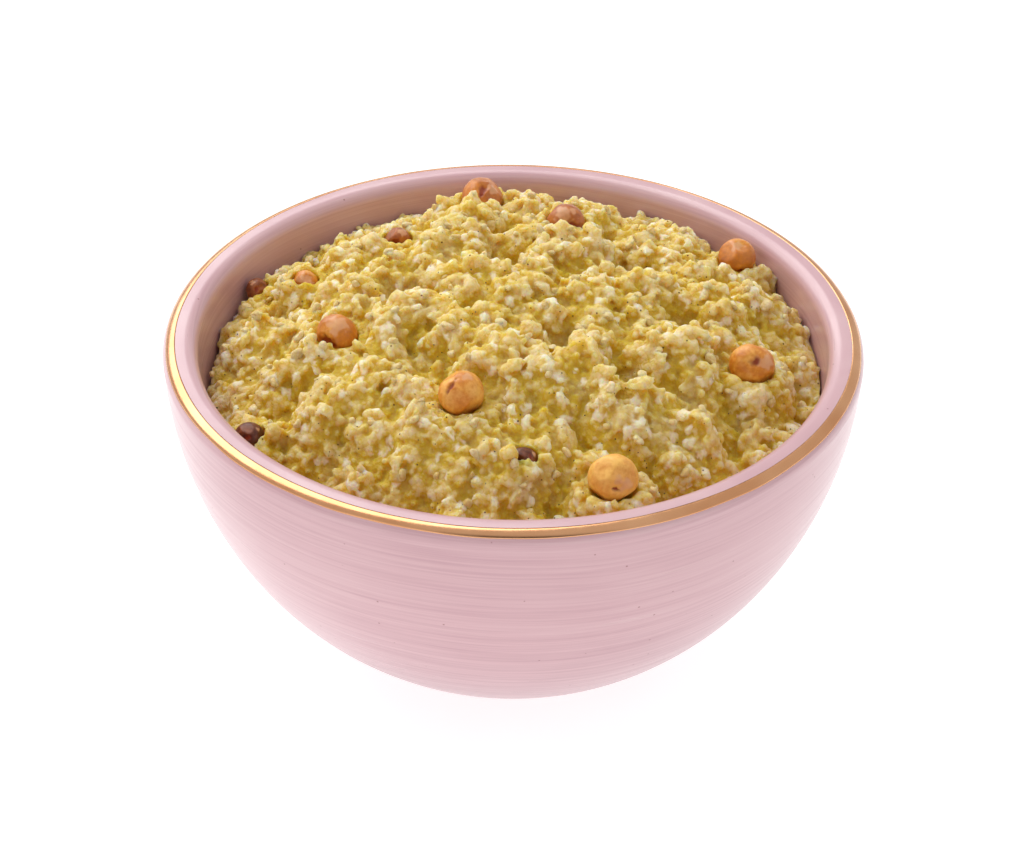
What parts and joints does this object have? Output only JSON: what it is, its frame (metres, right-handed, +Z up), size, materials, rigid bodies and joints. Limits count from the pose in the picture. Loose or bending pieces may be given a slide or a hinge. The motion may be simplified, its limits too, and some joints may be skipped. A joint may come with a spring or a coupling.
{
  "type": "bowl of bottle gourd halwa",
  "caption": "Small round footed stoneware bowl heaped with a moist, crumbly bottle gourd sweet and dotted with roasted nut kernels, ready to serve.",
  "frame": {"origin": "middle of the bowl's foot, on the surface it stands on", "axes": "+Z up, +Y away from the viewer of the picture, +X to the viewer's right"},
  "size_m": [0.12, 0.12, 0.0676],
  "materials": {
    "pink_glaze": "glossy pale pink glaze with fine throwing lines, and a gold lustre band on the lip",
    "halwa": "moist, translucent yellow-green grains and cream curds",
    "roasted_kernel": "satin orange-brown roasted nut"
  },
  "bodies": {
    "root": {"bowl": "pink_glaze", "halwa": "halwa", "kernel_01": "roasted_kernel", "kernel_02": "roasted_kernel", "kernel_03": "roasted_kernel", "kernel_04": "roasted_kernel", "kernel_05": "roasted_kernel", "kernel_06": "roasted_kernel", "kernel_07": "roasted_kernel", "kernel_08": "roasted_kernel", "kernel_09": "roasted_kernel", "kernel_10": "roasted_kernel", "kernel_11": "roasted_kernel", "kernel_12": "roasted_kernel"}
  },
  "joints": []
}
